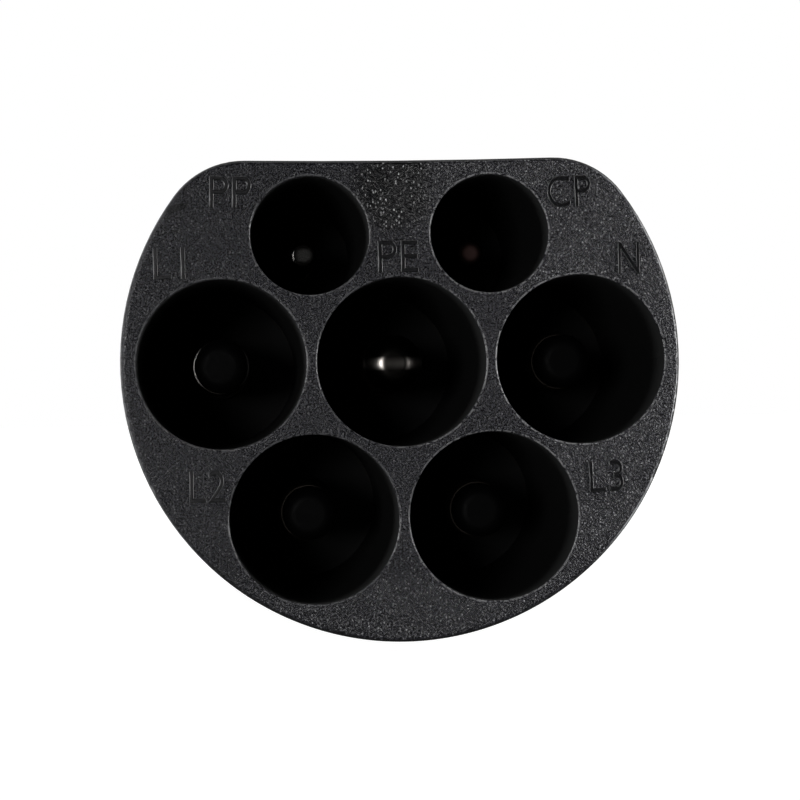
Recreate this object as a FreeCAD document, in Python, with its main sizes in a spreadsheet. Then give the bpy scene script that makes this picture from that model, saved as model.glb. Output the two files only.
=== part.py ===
import FreeCAD, Part
import math
import os
import re

import Sketcher

# Seven-pin plug of an electric-car charging cable, the end that goes into the charging post.
# The plug lies on its belly. X runs across it, Y from the face to the cable gland, Z up.
# Each piece is drawn on the plug's own axis: the earth pin's centre line, zero at the face.
# The placement at the end then puts the middle of the length and the belly at the origin.

SIZES = {
    # Face and the chambers that the pins stand in
    "chamber_radius": 8.45,
    "chamber_web": 1.1,
    "pilot_chamber_radius": 5.9,
    "pilot_web": 1.22,
    "nose_wall": 1.55,
    "top_wall": 1.5,
    "corner_radius": 8.65,
    "top_hollow_radius": 800,
    "nose_length": 50,
    "floor_thickness": 8,
    "face_edge_radius": 0.5,
    "mouth_round": 0.25,
    # Neck and flange of the insert, clamped by the two halves of the handle
    "neck_step": 3,
    "neck_length": 3,
    "flange_step": 1.6,
    "flange_length": 4,
    "rear_pocket_wall": 1.5,
    "flange_play": 0.15,
    # Recesses that the post's locking bolt drops into
    "lock_station": 30,
    "lock_length": 8,
    "lock_half_width": 3,
    "lock_depth": 3.2,
    "lock_angle": 36,
    # Power pins
    "pin_radius": 3,
    "live_tip_depth": 12.5,
    "earth_tip_depth": 10.5,
    "earth_tip_round": 2,
    "pin_edge_round": 0.15,
    "shank_step": 0.3,
    "hole_play": 0.1,
    "seal_section": 0.8,
    "seal_seat_depth": 1.75,
    "collar_length": 3,
    "barrel_radius": 3.9,
    "barrel_length": 18,
    "barrel_bore": 2.2,
    "barrel_bore_depth": 12,
    # Touch-safe plastic tips on the live pins
    "cap_length": 4.5,
    "cap_step": 0.2,
    "cap_round": 1.3,
    "spigot_radius": 1.4,
    "spigot_length": 2.8,
    "spigot_play": 0.05,
    # Pilot pins
    "pilot_radius": 1.5,
    "pilot_tip_depth": 20,
    "pilot_tip_round": 0.45,
    "pilot_drop": 0.8,
    "pilot_shank_step": 0.3,
    "pilot_seal_section": 0.5,
    "pilot_collar_length": 2.5,
    "pilot_barrel_radius": 1.95,
    "pilot_barrel_length": 10,
    "pilot_barrel_bore": 0.9,
    "pilot_barrel_depth": 7,
    "seal_play": 0.03,
    # Plate that holds the pins in from behind, and its screws
    "plate_play": 0.3,
    "plate_thickness": 4,
    "screw_radius": 1.5,
    "screw_play": 0.05,
    "screw_head_radius": 2.75,
    "screw_head_height": 2,
    "screw_socket": 1.25,
    "screw_socket_depth": 1.2,
    "plate_screw_reach": 5.5,
    "screw_hole_spare": 0.5,
    # Rubber ring at the root of the nose
    "face_seal_width": 0.9,
    "face_seal_length": 1.6,
    "face_seal_play": 0.05,
    # Handle: collar, then sections from the shoulder to the tail
    "collar_step": 1.5,
    "collar_flat": 0.3,
    "collar_run": 8,
    "collar_edge": 1.2,
    "collar_ledge": 1.8,
    "shoulder_run": 17,
    "waist_run": 25,
    "grip_run": 30,
    "heel_run": 20,
    "tail_run": 15,
    "shoulder_taper": 3.2,
    "shoulder_drop": 1.6,
    "shoulder_lift": 2.8,
    "waist_half_width": 21.5,
    "waist_top": 15.4,
    "waist_lift": 4.8,
    "grip_half_width": 20.6,
    "grip_top": 12.9,
    "grip_lift": 3.8,
    "heel_half_width": 21,
    "heel_top": 11.6,
    "heel_drop": 0.9,
    "tail_half_width": 20.2,
    "tail_top": 11,
    "tail_lift": 1.6,
    "collar_belly_easing": 2,
    "shoulder_belly_easing": 3,
    "collar_corner": 9,
    "shoulder_corner": 11,
    "waist_corner": 17,
    "grip_corner": 15,
    "heel_corner": 13,
    "tail_corner": 14,
    "tail_edge": 2,
    "handle_wall": 2.8,
    "cut_margin": 1,
    "parting_half_width": 0.22,
    "groove_depth": 0.7,
    "groove_width": 1.7,
    "groove_pitch": 4.4,
    "groove_count": 8,
    "groove_low": 21,
    "groove_high": 2,
    # Ribs, bosses and screws inside the handle
    "front_rib": 2.85,
    "front_rib_step": 0.5,
    "rear_rib": 2.8,
    "rear_rib_step": 2,
    "boss_radius": 4.3,
    "boss_bite": 1.8,
    "boss_setback": 5,
    "boss_hole_depth": 12,
    "head_seat": 7,
    "head_play": 0.35,
    "handle_screw_length": 17,
    # Cable gland
    "tail_wall": 3,
    "gland_flange_radius": 16.2,
    "gland_flange_length": 4,
    "gland_play": 0.1,
    "gland_radius": 13.95,
    "gland_bore": 10.2,
    "gland_reach": 17,
    "gasket_thickness": 1,
    "gasket_width": 3,
    "seal_radius": 11.85,
    "seal_ledge": 2,
    "cable_radius": 8.6,
    "seal_length": 12,
    "ring_play": 0.3,
    "nut_radius": 18.4,
    "nut_length": 24,
    "nut_throat": 9.2,
    "nut_lip": 5.2,
    "nut_round": 4,
    "flute_radius": 2.4,
    "flute_depth": 1,
    "flute_count": 14,
    # Coding resistor between the proximity pin and earth
    "resistor_radius": 1.15,
    "resistor_length": 6.4,
    "lead_radius": 0.3,
    "lead_bend": 1.6,
    "lead_gap": 4,
    "lead_reach": 5,
}

# The face: every chamber is set out from the one in the middle.
PITCH = "(2 * chamber_radius + chamber_web)"
ROW_DROP = f"({PITCH} * sqrt(3) / 2)"
NOSE_RADIUS = f"({PITCH} + chamber_radius + nose_wall)"
PILOT_REACH = "(chamber_radius + pilot_chamber_radius + pilot_web)"
PILOT_RISE = f"sqrt({PILOT_REACH}^2 - ({PITCH} / 2)^2)"
NOSE_TOP = f"({PILOT_RISE} + pilot_chamber_radius + top_wall)"
PILOT_Z = f"({PILOT_RISE} - pilot_drop)"

# Stations along the plug, from the face backwards.
CHAMBER_DEPTH = "(nose_length - floor_thickness)"
FLANGE_FRONT = "(nose_length + neck_length)"
INSERT_END = f"({FLANGE_FRONT} + flange_length)"
COLLAR_END = "(nose_length + collar_run)"
SHOULDER = f"({COLLAR_END} + shoulder_run)"
WAIST = f"({SHOULDER} + waist_run)"
GRIP = f"({WAIST} + grip_run)"
HEEL = f"({GRIP} + heel_run)"
TAIL = f"({HEEL} + tail_run)"
TAIL_WALL_FRONT = f"({TAIL} - tail_wall)"
FLANGE_ROOM_FRONT = f"({TAIL_WALL_FRONT} - gland_flange_length - 2 * gland_play)"
NUT_FRONT = f"({TAIL} + gasket_thickness)"
OVERALL = f"({NUT_FRONT} + nut_length)"

BELLY = f"(collar_flat - collar_step - {NOSE_RADIUS})"
GLAND_Z = f"((tail_top + {BELLY} + tail_lift) / 2)"
PILOT_COLLAR_RADIUS = "(pilot_radius + pilot_shank_step + 2 * pilot_seal_section + 0.5 * hole_play)"
COLLAR_RADIUS = "(pin_radius + shank_step + 2 * seal_section + 0.5 * hole_play)"

POWER_PINS = {
    "earth": ("0", "0"),
    "line_1": (f"(-{PITCH})", "0"),
    "neutral": (PITCH, "0"),
    "line_2": (f"(-{PITCH} / 2)", f"(-{ROW_DROP})"),
    "line_3": (f"({PITCH} / 2)", f"(-{ROW_DROP})"),
}
PILOT_PINS = {
    "proximity": (f"(-{PITCH} / 2)", PILOT_Z),
    "pilot": (f"({PITCH} / 2)", PILOT_Z),
}
PLATE_SCREWS = {
    "top": ("0", PILOT_Z),
    "left": (f"(-0.75 * {PITCH})", f"(-{ROW_DROP} / 2)"),
    "right": (f"(0.75 * {PITCH})", f"(-{ROW_DROP} / 2)"),
}

doc = FreeCAD.newDocument("charging_plug")
Dims = doc.addObject("Spreadsheet::Sheet", "Dims")
for row, (alias, value) in enumerate(SIZES.items(), 1):
    Dims.set(f"A{row}", str(value))
    Dims.setAlias(f"A{row}", alias)
doc.recompute()


def formula(text):
    """A size formula with each name of the sheet written in full."""
    return re.sub(r"[a-z]\w*", lambda m: "Dims." + m[0] if m[0] in SIZES else m[0], text)


def number(text):
    """What a size formula comes to now."""
    value = Dims.evalExpression(text)
    return float(getattr(value, "Value", value))


def bind(thing, **formulas):
    """Ties properties of an object to size formulas; a double underscore stands for a dot."""
    for name, text in formulas.items():
        thing.setExpression(name.replace("__", "."), formula(text))


def place(thing, x="0", z="0"):
    """Moves a finished piece from the plug's own axis to where the plug lies."""
    bind(thing, Placement__Base__x=x)
    bind(thing, Placement__Base__y=f"-{OVERALL} / 2", Placement__Base__z=f"{z} - {BELLY}")


# Sketches

def new_body(name):
    body = doc.addObject("PartDesign::Body", name)
    body.Label = name
    return body


def new_sketch(body, name, role, back="0"):
    """A sketch on an origin plane of its body. One on the XZ plane may stand further back."""
    sketch = body.newObject("Sketcher::SketchObject", name)
    plane = [f for f in body.Origin.OriginFeatures if f.Role == role][0]
    sketch.AttachmentSupport = [(plane, "")]
    sketch.MapMode = "FlatFace"
    bind(sketch, AttachmentOffset__Base__z=f"-({back})")
    return sketch


def hold(sketch, kind, *where, text):
    """Adds a dimension to a sketch and ties it to a size formula."""
    index = sketch.addConstraint(Sketcher.Constraint(kind, *where, number(text)))
    sketch.setExpression(f"Constraints[{index}]", formula(text))


def hold_point(sketch, geometry, position, x, z):
    """Fixes a point of a sketch from its origin; a coordinate of 0 sits on the axis."""
    for kind, text, axis in (("DistanceX", x, -2), ("DistanceY", z, -1)):
        if text == "0":
            sketch.addConstraint(Sketcher.Constraint("PointOnObject", geometry, position, axis))
        else:
            hold(sketch, kind, -1, 1, geometry, position, text=text)


def arc_of(centre, radius, start, end):
    """A counterclockwise arc between two angles, in radians."""
    circle = Part.Circle(FreeCAD.Vector(*centre, 0), FreeCAD.Vector(0, 0, 1), radius)
    return Part.ArcOfCircle(circle, start, end)


def draw_circle(sketch, x, z, radius):
    circle = Part.Circle(
        FreeCAD.Vector(number(x), number(z), 0), FreeCAD.Vector(0, 0, 1), number(radius)
    )
    geometry = sketch.addGeometry(circle, False)
    hold(sketch, "Radius", geometry, text=radius)
    if (x, z) == ("0", "0"):
        sketch.addConstraint(Sketcher.Constraint("Coincident", geometry, 3, -1, 1))
    else:
        hold_point(sketch, geometry, 3, x, z)


def draw_outline(sketch, corners, rounds=None):
    """A closed outline through corners. rounds gives, for a corner's number, the radius formula
    of the counterclockwise arc that leads from it to the next corner."""
    rounds = rounds or {}
    points = [(number(x), number(z)) for x, z in corners]
    edges = []
    for i, (x0, z0) in enumerate(points):
        x1, z1 = points[(i + 1) % len(points)]
        if i in rounds:
            radius = number(rounds[i])
            chord = math.hypot(x1 - x0, z1 - z0)
            off = math.sqrt(radius ** 2 - chord ** 2 / 4) / chord
            centre = ((x0 + x1) / 2 - (z1 - z0) * off, (z0 + z1) / 2 + (x1 - x0) * off)
            start = math.atan2(z0 - centre[1], x0 - centre[0])
            end = math.atan2(z1 - centre[1], x1 - centre[0])
            edge = arc_of(centre, radius, start, end if end > start else end + 2 * math.pi)
        else:
            edge = Part.LineSegment(FreeCAD.Vector(x0, z0, 0), FreeCAD.Vector(x1, z1, 0))
        edges.append(sketch.addGeometry(edge, False))
    for i, edge in enumerate(edges):
        nearest = edges[(i + 1) % len(edges)]
        sketch.addConstraint(Sketcher.Constraint("Coincident", edge, 2, nearest, 1))
        hold_point(sketch, edge, 1, *corners[i])
        if i in rounds:
            hold(sketch, "Radius", edge, text=rounds[i])


def draw_nose(sketch, step="0"):
    """The plug's D outline, taken in by step: a round belly, two corners and a top that dips
    very slightly. All four arcs run into each other without a kink."""
    radius = f"({NOSE_RADIUS} - ({step}))"
    corner = f"(corner_radius - ({step}))"
    hollow = f"(top_hollow_radius + ({step}))"
    hollow_z = f"({NOSE_TOP} + top_hollow_radius)"
    r, c, h, z = (number(t) for t in (radius, corner, hollow, hollow_z))
    corner_z = ((r - c) ** 2 - (h + c) ** 2 + z ** 2) / (2 * z)
    corner_x = math.sqrt((r - c) ** 2 - corner_z ** 2)
    low = math.atan2(corner_z, corner_x)
    high = math.atan2(z - corner_z, -corner_x)
    belly = sketch.addGeometry(arc_of((0, 0), r, math.pi - low, 2 * math.pi + low), False)
    right = sketch.addGeometry(arc_of((corner_x, corner_z), c, low, high), False)
    top = sketch.addGeometry(arc_of((0, z), h, 2 * math.pi - high, math.pi + high), False)
    left = sketch.addGeometry(arc_of((-corner_x, corner_z), c, math.pi - high, math.pi - low), False)
    for first, end, second, start in (
        (belly, 2, right, 1), (right, 2, top, 2), (top, 1, left, 1), (left, 2, belly, 1)
    ):
        sketch.addConstraint(Sketcher.Constraint("Tangent", first, end, second, start))
    sketch.addConstraint(Sketcher.Constraint("Coincident", belly, 3, -1, 1))
    sketch.addConstraint(Sketcher.Constraint("Equal", left, right))
    hold(sketch, "Radius", belly, text=radius)
    hold(sketch, "Radius", right, text=corner)
    hold(sketch, "Radius", top, text=hollow)
    hold_point(sketch, top, 3, "0", hollow_z)


def draw_section(sketch, half_width, top, bottom, top_corner, bottom_corner):
    """A rounded section of the handle: four lines and four arcs that run into each other."""
    w, t, b, r, q = (number(text) for text in (half_width, top, bottom, top_corner, bottom_corner))
    quarter = math.pi / 2
    corners = [
        (w - r, t - r, r, 0), (r - w, t - r, r, 1), (q - w, b + q, q, 2), (w - q, b + q, q, 3)
    ]
    arcs = [
        sketch.addGeometry(arc_of((x, z), radius, turn * quarter, (turn + 1) * quarter), False)
        for x, z, radius, turn in corners
    ]
    ends = [
        ((w - r, t), (r - w, t)), ((-w, t - r), (-w, b + q)),
        ((q - w, b), (w - q, b)), ((w, b + q), (w, t - r)),
    ]
    lines = [
        sketch.addGeometry(Part.LineSegment(FreeCAD.Vector(*p, 0), FreeCAD.Vector(*s, 0)), False)
        for p, s in ends
    ]
    for i in range(4):
        sketch.addConstraint(Sketcher.Constraint("Tangent", arcs[i], 2, lines[i], 1))
        sketch.addConstraint(Sketcher.Constraint("Tangent", lines[i], 2, arcs[(i + 1) % 4], 1))
    centres = [
        (f"{half_width} - {top_corner}", f"{top} - {top_corner}", top_corner),
        (f"{top_corner} - {half_width}", f"{top} - {top_corner}", top_corner),
        (f"{bottom_corner} - {half_width}", f"{bottom} + {bottom_corner}", bottom_corner),
        (f"{half_width} - {bottom_corner}", f"{bottom} + {bottom_corner}", bottom_corner),
    ]
    for arc, (x, z, radius) in zip(arcs, centres):
        hold_point(sketch, arc, 3, x, z)
        hold(sketch, "Radius", arc, text=radius)


# Features

def add(body, kind, name, **settings):
    """Adds a feature, and stops if it leaves the solid as it was."""
    before = body.Shape.Volume if body.Tip is not None and not body.Shape.isNull() else 0
    feature = body.newObject("PartDesign::" + kind, name)
    for key, value in settings.items():
        if isinstance(value, str) and key in ("Length", "Radius"):
            bind(feature, **{key: value})
        else:
            setattr(feature, key, value)
    body.Tip = feature
    doc.recompute()
    if abs(body.Shape.Volume - before) < 1e-6:
        raise RuntimeError(f"{body.Name}: {name} changes nothing")
    return feature


def pad(body, name, sketch, length):
    """Grows a sketch of the XZ plane backwards, away from the face."""
    return add(body, "Pad", name, Profile=sketch, Reversed=True, Length=length)


def pocket(body, name, sketch, length, forwards=False):
    """Cuts backwards from a sketch, or forwards, towards the face."""
    return add(body, "Pocket", name, Profile=sketch, Reversed=forwards, Length=length)


def turned(name, corners, rounds=None):
    """A turned piece: corners are (radius, station) round the Y axis."""
    body = new_body(name)
    sketch = new_sketch(body, name + "_profile", "XY_Plane")
    draw_outline(sketch, corners, rounds)
    add(body, "Revolution", name + "_turned", Profile=sketch, ReferenceAxis=(sketch, ["V_Axis"]), Angle=360)
    return body


def edges_at(shape, station, chosen=lambda edge: True):
    """Names of the edges that lie in the plane at a station."""
    found = []
    for i, edge in enumerate(shape.Edges, 1):
        box = edge.BoundBox
        if abs(box.YMin - station) < 1e-4 and abs(box.YMax - station) < 1e-4 and chosen(edge):
            found.append(f"Edge{i}")
    return found


def is_mouth(edge):
    """True for the full circle of a chamber's mouth."""
    radii = (number("chamber_radius"), number("pilot_chamber_radius"))
    return isinstance(edge.Curve, Part.Circle) and any(abs(edge.Curve.Radius - r) < 1e-4 for r in radii)


# Solids of the handle that are joined and cut as a whole

def box(name, x, y, z, length, width, height):
    """A block from its lowest corner."""
    block = doc.addObject("Part::Box", name)
    bind(block, Placement__Base__x=x, Placement__Base__y=y, Placement__Base__z=z)
    bind(block, Length=length, Width=width, Height=height)
    return block


def rod(name, x, y, z, radius, length, along="y"):
    """A round bar along the plug, or across it from left to right."""
    bar = doc.addObject("Part::Cylinder", name)
    turn = ((1, 0, 0), -90) if along == "y" else ((0, 1, 0), 90)
    bar.Placement.Rotation = FreeCAD.Rotation(FreeCAD.Vector(*turn[0]), turn[1])
    bind(bar, Placement__Base__x=x, Placement__Base__y=y, Placement__Base__z=z)
    bind(bar, Radius=radius, Height=length)
    return bar


def fuse(name, shapes):
    joined = doc.addObject("Part::MultiFuse", name)
    joined.Shapes = shapes
    return joined


def cut(name, base, tool):
    left = doc.addObject("Part::Cut", name)
    left.Base = base
    left.Tool = tool
    return left


def common(name, base, tool):
    shared = doc.addObject("Part::Common", name)
    shared.Base = base
    shared.Tool = tool
    return shared


def group(name, members):
    """Like pieces that share one file."""
    together = doc.addObject("Part::Compound", name)
    together.Links = members
    together.Label = name
    return together


def screw(name, x, y, z, length, along):
    """A cap screw whose head seat is at the given point; along y its head is at the back,
    along x it is at the right."""
    reach = {"x": x, "y": y, "z": z}
    reach[along] = f"{reach[along]} - {length}"
    shank = rod(name + "_shank", reach["x"], reach["y"], reach["z"], "screw_radius", length, along)
    head = rod(name + "_head", x, y, z, "screw_head_radius", "screw_head_height", along)
    socket = doc.addObject("Part::Prism", name + "_socket")
    socket.Polygon = 6
    socket.Placement.Rotation = head.Placement.Rotation
    seat = {"x": x, "y": y, "z": z}
    seat[along] = f"{seat[along]} + screw_head_height - screw_socket_depth"
    bind(socket, Placement__Base__x=seat["x"], Placement__Base__y=seat["y"], Placement__Base__z=seat["z"])
    bind(socket, Circumradius="screw_socket", Height="2 * screw_socket_depth")
    return cut(name, fuse(name + "_blank", [shank, head]), socket)


# Contact insert: the moulded nose with its seven chambers

def lock_recess(angle):
    """Corners of a locking recess whose middle line leaves the plug's axis at an angle."""
    inner = f"({NOSE_RADIUS} - lock_depth)"
    outer = f"({NOSE_RADIUS} + lock_depth)"
    corners = []
    for reach, side in ((inner, "-1"), (outer, "-1"), (outer, "1"), (inner, "1")):
        x = f"({reach} * cos({angle}) - {side} * lock_half_width * sin({angle}))"
        z = f"({reach} * sin({angle}) + {side} * lock_half_width * cos({angle}))"
        corners.append((x, z))
    return corners


def make_insert():
    body = new_body("contact_insert")
    face = new_sketch(body, "nose_outline", "XZ_Plane")
    draw_nose(face)
    nose = pad(body, "nose", face, "nose_length")
    front = edges_at(body.Shape, 0)
    add(body, "Fillet", "face_edge", Base=(nose, front), Radius="face_edge_radius")
    neck = new_sketch(body, "neck_outline", "XZ_Plane", "nose_length")
    draw_nose(neck, "neck_step")
    pad(body, "neck", neck, "neck_length + flange_length")
    flange = new_sketch(body, "flange_outline", "XZ_Plane", FLANGE_FRONT)
    draw_nose(flange, "flange_step")
    pad(body, "flange", flange, "flange_length")
    rear = new_sketch(body, "rear_pocket_outline", "XZ_Plane", INSERT_END)
    draw_nose(rear, "neck_step + rear_pocket_wall")
    pocket(body, "rear_pocket", rear, "neck_length + flange_length", forwards=True)

    mouths = new_sketch(body, "chamber_mouths", "XZ_Plane")
    for x, z in POWER_PINS.values():
        draw_circle(mouths, x, z, "chamber_radius")
    for x, z in PILOT_PINS.values():
        draw_circle(mouths, x, f"{z} + pilot_drop", "pilot_chamber_radius")
    pocket(body, "chambers", mouths, CHAMBER_DEPTH)
    holes = new_sketch(body, "pin_holes", "XZ_Plane")
    for x, z in POWER_PINS.values():
        draw_circle(holes, x, z, "pin_radius + shank_step + hole_play")
    for x, z in PILOT_PINS.values():
        draw_circle(holes, x, z, "pilot_radius + pilot_shank_step + hole_play")
    pocket(body, "floor_holes", holes, "nose_length")
    seats = new_sketch(body, "power_seats", "XZ_Plane", "nose_length")
    for x, z in POWER_PINS.values():
        draw_circle(seats, x, z, f"{COLLAR_RADIUS} + hole_play")
    pocket(body, "power_counterbores", seats, "collar_length + seal_seat_depth", forwards=True)
    seats = new_sketch(body, "pilot_seats", "XZ_Plane", "nose_length")
    for x, z in PILOT_PINS.values():
        draw_circle(seats, x, z, f"{PILOT_COLLAR_RADIUS} + hole_play")
    depth = "pilot_collar_length + 2 * (pilot_seal_section + seal_play)"
    pocket(body, "pilot_counterbores", seats, depth, forwards=True)
    threads = new_sketch(body, "plate_screw_holes", "XZ_Plane", "nose_length")
    for x, z in PLATE_SCREWS.values():
        draw_circle(threads, x, z, "screw_radius + screw_play")
    pocket(body, "screw_holes", threads, "plate_screw_reach + screw_hole_spare", forwards=True)

    locks = new_sketch(body, "lock_outlines", "XZ_Plane", "lock_station")
    draw_outline(locks, lock_recess("lock_angle"))
    draw_outline(locks, lock_recess("(180 - lock_angle)"))
    low, high = f"{NOSE_TOP} - lock_depth", f"{NOSE_TOP} + lock_depth"
    draw_outline(locks, [
        ("-lock_half_width", low), ("lock_half_width", low),
        ("lock_half_width", high), ("-lock_half_width", high),
    ])
    locked = pocket(body, "lock_recesses", locks, "lock_length")
    rims = edges_at(body.Shape, 0, is_mouth)
    add(body, "Fillet", "mouth_edges", Base=(locked, rims), Radius="mouth_round")
    place(body)
    return body


# Pins, their tips and their seals

def pin_rear(collar_radius, collar_length, barrel_radius, barrel_length, bore, bore_depth):
    """Corners of a pin from its collar, which seats in the insert, to its crimp barrel."""
    end = f"nose_length + {barrel_length}"
    return [
        (collar_radius, f"nose_length - {collar_length}"),
        (collar_radius, "nose_length"),
        (barrel_radius, "nose_length"),
        (barrel_radius, end),
        (bore, end),
        (bore, f"{end} - {bore_depth}"),
        ("0", f"{end} - {bore_depth}"),
    ]


def pin_front(radius, step, collar_length):
    """Corners of a pin's shank through the chamber's floor."""
    return [
        (radius, CHAMBER_DEPTH),
        (f"{radius} + {step}", CHAMBER_DEPTH),
        (f"{radius} + {step}", f"nose_length - {collar_length}"),
    ]


def make_power_pins():
    """The earth pin is metal to its tip; the others carry a plastic tip on a spigot."""
    shank = pin_front("pin_radius", "shank_step", "collar_length")
    rear = pin_rear(
        COLLAR_RADIUS, "collar_length", "barrel_radius", "barrel_length", "barrel_bore", "barrel_bore_depth"
    )
    tip = [
        ("0", "earth_tip_depth"),
        ("pin_radius - earth_tip_round", "earth_tip_depth"),
        ("pin_radius", "earth_tip_depth + earth_tip_round"),
    ]
    spigot_end = "live_tip_depth + cap_length - spigot_length"
    spigot = [
        ("0", spigot_end),
        ("spigot_radius", spigot_end),
        ("spigot_radius", "live_tip_depth + cap_length"),
        ("pin_radius - pin_edge_round", "live_tip_depth + cap_length"),
        ("pin_radius", "live_tip_depth + cap_length + pin_edge_round"),
    ]
    cap_radius = "(pin_radius - cap_step)"
    hole = "(spigot_radius + spigot_play)"
    cap = [
        ("0", "live_tip_depth"),
        (f"{cap_radius} - cap_round", "live_tip_depth"),
        (cap_radius, "live_tip_depth + cap_round"),
        (cap_radius, "live_tip_depth + cap_length"),
        (hole, "live_tip_depth + cap_length"),
        (hole, f"{spigot_end} - spigot_play"),
        ("0", f"{spigot_end} - spigot_play"),
    ]
    made = []
    for name, (x, z) in POWER_PINS.items():
        if name == "earth":
            pieces = [turned("earth_pin", tip + shank + rear, {1: "earth_tip_round"})]
        else:
            pieces = [turned(name + "_pin", spigot + shank + rear, {3: "pin_edge_round"})]
            pieces.append(turned(name + "_tip", cap, {1: "cap_round"}))
        for piece in pieces:
            place(piece, x, z)
        made += pieces
    return made


def make_pilot_pins():
    front = [
        ("0", "pilot_tip_depth"),
        ("pilot_radius - pilot_tip_round", "pilot_tip_depth"),
        ("pilot_radius", "pilot_tip_depth + pilot_tip_round"),
    ]
    front += pin_front("pilot_radius", "pilot_shank_step", "pilot_collar_length")
    rear = pin_rear(
        PILOT_COLLAR_RADIUS, "pilot_collar_length", "pilot_barrel_radius", "pilot_barrel_length",
        "pilot_barrel_bore", "pilot_barrel_depth"
    )
    made = []
    for name, (x, z) in PILOT_PINS.items():
        pin = turned(name + "_pin", front + rear, {1: "pilot_tip_round"})
        place(pin, x, z)
        made.append(pin)
    return made


def make_pin_seals(name, pins, section, shank_radius, collar_length):
    """Rubber rings squeezed between the chamber floor and the collars of the pins."""
    rings = []
    for pin, (x, z) in pins.items():
        ring = doc.addObject("Part::Torus", f"{pin}_seal")
        ring.Placement.Rotation = FreeCAD.Rotation(FreeCAD.Vector(1, 0, 0), -90)
        bind(ring, Radius1=f"{shank_radius} + {section} + seal_play", Radius2=section)
        station = f"nose_length - {collar_length} - {section} - seal_play"
        bind(ring, Placement__Base__x=x, Placement__Base__y=station, Placement__Base__z=z)
        rings.append(ring)
    seals = group(name, rings)
    place(seals)
    return seals


def make_plate():
    """The plate behind the collars, with a hole for every crimp barrel."""
    body = new_body("retainer_plate")
    outline = new_sketch(body, "plate_outline", "XZ_Plane", "nose_length")
    draw_nose(outline, "neck_step + rear_pocket_wall + plate_play")
    for x, z in POWER_PINS.values():
        draw_circle(outline, x, z, "barrel_radius + hole_play")
    for x, z in PILOT_PINS.values():
        draw_circle(outline, x, z, "pilot_barrel_radius + hole_play")
    for x, z in PLATE_SCREWS.values():
        draw_circle(outline, x, z, "screw_radius + hole_play")
    pad(body, "plate", outline, "plate_thickness")
    place(body)
    return body


def make_plate_screws():
    seat = "nose_length + plate_thickness"
    length = "plate_thickness + plate_screw_reach"
    screws = [screw(f"plate_screw_{n}", x, seat, z, length, "y") for n, (x, z) in PLATE_SCREWS.items()]
    screws = group("retainer_screws", screws)
    place(screws)
    return screws


def make_face_seal():
    """The rubber ring round the root of the nose, which the socket's lid closes on."""
    body = new_body("face_seal")
    outline = new_sketch(body, "face_seal_outline", "XZ_Plane", "nose_length - face_seal_length")
    draw_nose(outline, "-face_seal_play - face_seal_width")
    draw_nose(outline, "-face_seal_play")
    pad(body, "face_seal_ring", outline, "face_seal_length")
    place(body)
    return body


# Handle

def handle_sections(inset):
    """Stations and sizes of the handle's sections, taken in by inset."""
    collar_side = f"({NOSE_RADIUS} + collar_step - collar_ledge - {inset})"
    collar_top = f"({NOSE_TOP} + collar_step - collar_ledge - {inset})"
    shoulder_side = f"({NOSE_RADIUS} - shoulder_taper - {inset})"
    shoulder_top = f"({NOSE_TOP} - shoulder_drop - {inset})"
    grip = f"(grip_corner - {inset})"
    return [
        (
            COLLAR_END, collar_side, collar_top, f"(-{collar_side})",
            f"(collar_corner - {inset})", f"({NOSE_RADIUS} - collar_belly_easing - {inset})",
        ),
        (
            SHOULDER, shoulder_side, shoulder_top, f"({BELLY} + shoulder_lift + {inset})",
            f"(shoulder_corner - {inset})", f"({shoulder_side} - shoulder_belly_easing)",
        ),
        (
            WAIST, f"(waist_half_width - {inset})", f"(waist_top - {inset})",
            f"({BELLY} + waist_lift + {inset})", grip, f"(waist_corner - {inset})",
        ),
        (
            GRIP, f"(grip_half_width - {inset})", f"(grip_top - {inset})",
            f"({BELLY} + grip_lift + {inset})", grip, grip,
        ),
        (
            HEEL, f"(heel_half_width - {inset})", f"(heel_top - {inset})",
            f"({BELLY} - heel_drop + {inset})", grip, f"(heel_corner - {inset})",
        ),
        (
            TAIL, f"(tail_half_width - {inset})", f"(tail_top - {inset})",
            f"({BELLY} + tail_lift + {inset})", grip, f"(tail_corner - {inset})",
        ),
    ]


def handle_form(name, inset, collar):
    """The handle's outer form, taken in by inset: a collar that follows the nose, and a grip
    that narrows behind it, dips under the fingers and comes down to a heel."""
    body = new_body(name)
    if collar:
        outline = new_sketch(body, name + "_collar_outline", "XZ_Plane", f"nose_length + {inset}")
        draw_nose(outline, f"{inset} - collar_step")
        rim = pad(body, name + "_collar", outline, f"collar_run - 2 * {inset}")
        if inset == "0":
            front = edges_at(body.Shape, number("nose_length"))
            back = edges_at(body.Shape, number(COLLAR_END))
            add(body, "Fillet", name + "_collar_edge", Base=(rim, front + back), Radius="collar_edge")
    sketches = []
    for i, (station, *sizes) in enumerate(handle_sections(inset)):
        section = new_sketch(body, f"{name}_section_{i}", "XZ_Plane", station)
        draw_section(section, *sizes)
        sketches.append(section)
    grip = add(body, "AdditiveLoft", name + "_grip", Profile=sketches[0], Sections=sketches[1:])
    if inset == "0":
        rim = edges_at(body.Shape, number(TAIL))
        add(body, "Fillet", name + "_tail_edge", Base=(grip, rim), Radius="tail_edge")
    if collar:
        under = new_sketch(body, name + "_belly_outline", "XZ_Plane", "nose_length")
        side, low, high = "(2 * tail_half_width)", f"(2 * {BELLY})", f"({BELLY} + {inset})"
        draw_outline(under, [(f"-{side}", low), (side, low), (side, high), (f"-{side}", high)])
        pocket(body, name + "_belly", under, f"{TAIL} - nose_length")
    return body


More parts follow.
